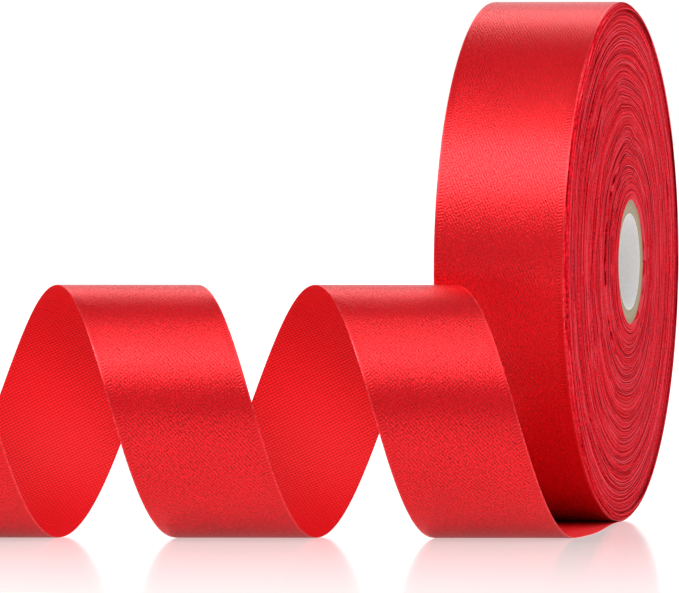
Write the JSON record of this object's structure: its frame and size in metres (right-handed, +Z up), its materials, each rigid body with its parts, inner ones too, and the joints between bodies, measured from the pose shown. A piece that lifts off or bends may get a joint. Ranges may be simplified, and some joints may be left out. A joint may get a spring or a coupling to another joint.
{
  "type": "ribbon spool",
  "caption": "Roll of red satin gift ribbon on a paper tube core, standing on its rim, its free end paid out along the floor and curled in round turns.",
  "frame": {"origin": "centre of the core's bore, half-way along the core", "axes": "+X along the roll's axis towards the face where the inner turns stand out, +Z up, free end paid out towards -Y"},
  "size_m": [0.2519, 0.2438, 0.152],
  "materials": {
    "satin_ribbon": "satin face, dull back",
    "core_lining": "smooth white paper",
    "core_board": "matte grey-brown board, cut ends",
    "core_wrap": "kraft paper",
    "start_tape": "clear double-sided tape"
  },
  "bodies": {
    "free_end": {"ribbon_outer_turn": "satin_ribbon", "ribbon_lead": "satin_ribbon", "ribbon_curl_1": "satin_ribbon", "ribbon_curl_2": "satin_ribbon", "ribbon_curl_3": "satin_ribbon"},
    "roll": {"core_liner": "core_lining", "core_ply_1": "core_board", "core_ply_2": "core_board", "core_ply_3": "core_board", "core_ply_4": "core_board", "core_ply_5": "core_board", "core_ply_6": "core_board", "core_wrap": "core_wrap", "start_tape": "start_tape", "ribbon_pack": "satin_ribbon"}
  },
  "joints": [
    {"name": "roll_turn", "type": "hinge", "parent": "free_end", "child": "roll", "pos_m": [0, 0, 0], "axis": [1, 0, 0], "continuous": true}
  ]
}
